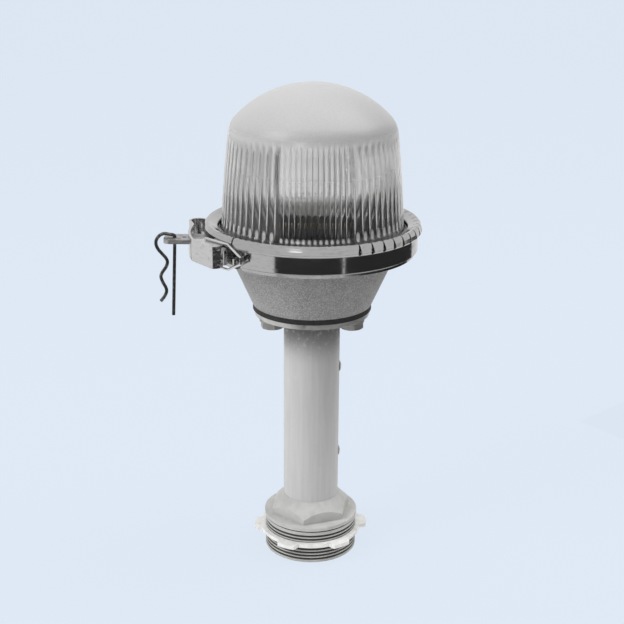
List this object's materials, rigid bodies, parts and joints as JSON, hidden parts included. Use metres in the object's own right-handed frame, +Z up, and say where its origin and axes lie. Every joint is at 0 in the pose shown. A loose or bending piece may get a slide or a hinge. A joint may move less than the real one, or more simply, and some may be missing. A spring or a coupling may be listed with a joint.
{
  "type": "runway light",
  "caption": "Elevated runway light with a fluted glass dome on a tapered housing, held by a latched clamp band, on a tubular column with a threaded breakable coupling.",
  "frame": {"origin": "on the column's axis in the plane of the foot's lower end", "axes": "+Z up along the column, -X towards the spring clip and its staple, -Y towards the camera side"},
  "size_m": [0.1637, 0.134, 0.3046],
  "materials": {
    "alloy_bright": "satin",
    "column_alloy": "satin",
    "fastener_steel": "satin",
    "polished_steel": "gloss",
    "spring_steel": "satin",
    "grey_paint": "satin",
    "clear_glass": "gloss",
    "rubber": "matt",
    "ceramic": "satin",
    "brass": "satin",
    "lead_cover": "matt"
  },
  "bodies": {
    "post": {"coupling": "alloy_bright", "coupling_sleeve": "alloy_bright", "cable_bush": "rubber", "column_tube": "column_alloy", "column_screws": "fastener_steel", "column_nut": "brass", "column_flange": "alloy_bright", "base_seal": "rubber", "base_bolts": "fastener_steel", "base_washers": "fastener_steel", "housing": "grey_paint", "glass_gasket": "rubber", "clamp_band": "polished_steel", "latch_base": "polished_steel", "latch_pin": "polished_steel", "keeper_hook": "polished_steel", "locking_staple": "fastener_steel", "latch_rivets": "fastener_steel", "lampholder_bracket": "fastener_steel", "bracket_screws": "brass", "lampholder": "ceramic", "holder_screws": "brass", "terminal_block": "ceramic", "terminal_screws": "brass", "lamp_leads": "lead_cover", "earth_screw": "brass", "earth_tag": "brass"},
    "ring": {"lock_ring": "alloy_bright"},
    "dome": {"glass_dome": "clear_glass"},
    "lever": {"latch_lever": "polished_steel"},
    "bail": {"latch_bail": "polished_steel"},
    "clip": {"r_clip": "spring_steel"},
    "lamp": {"lamp_glass": "clear_glass", "lamp_cap": "ceramic", "lamp_pins": "spring_steel", "lamp_filament": "spring_steel"}
  },
  "joints": [
    {"name": "ring_turn", "type": "hinge", "parent": "post", "child": "ring", "pos_m": [0, 0, 0.0132], "axis": [0, 0, 1], "continuous": true},
    {"name": "lever_swing", "type": "hinge", "parent": "post", "child": "lever", "pos_m": [-0.05596, -0.04451, 0.21025], "axis": [0, 0, 1], "range_deg": [0, 95]},
    {"name": "bail_swing", "type": "hinge", "parent": "lever", "child": "bail", "pos_m": [-0.06274, -0.03406, 0.21025], "axis": [0, 0, 1], "range_deg": [-66.5, 0]},
    {"name": "clip_pull", "type": "slide", "parent": "post", "child": "clip", "axis": [0, 0, 1], "range_m": [0, 0.06], "deforming": ["r_clip"]},
    {"name": "dome_lift", "type": "slide", "parent": "post", "child": "dome", "axis": [0, 0, 1], "range_m": [0, 0.11], "deforming": ["clamp_band"]},
    {"name": "lamp_pull", "type": "slide", "parent": "post", "child": "lamp", "axis": [0, 0, 1], "range_m": [0, 0.025]}
  ],
  "couplings": [
    {"joint": "bail_swing", "follows": "lever_swing", "ratio": -0.7}
  ]
}
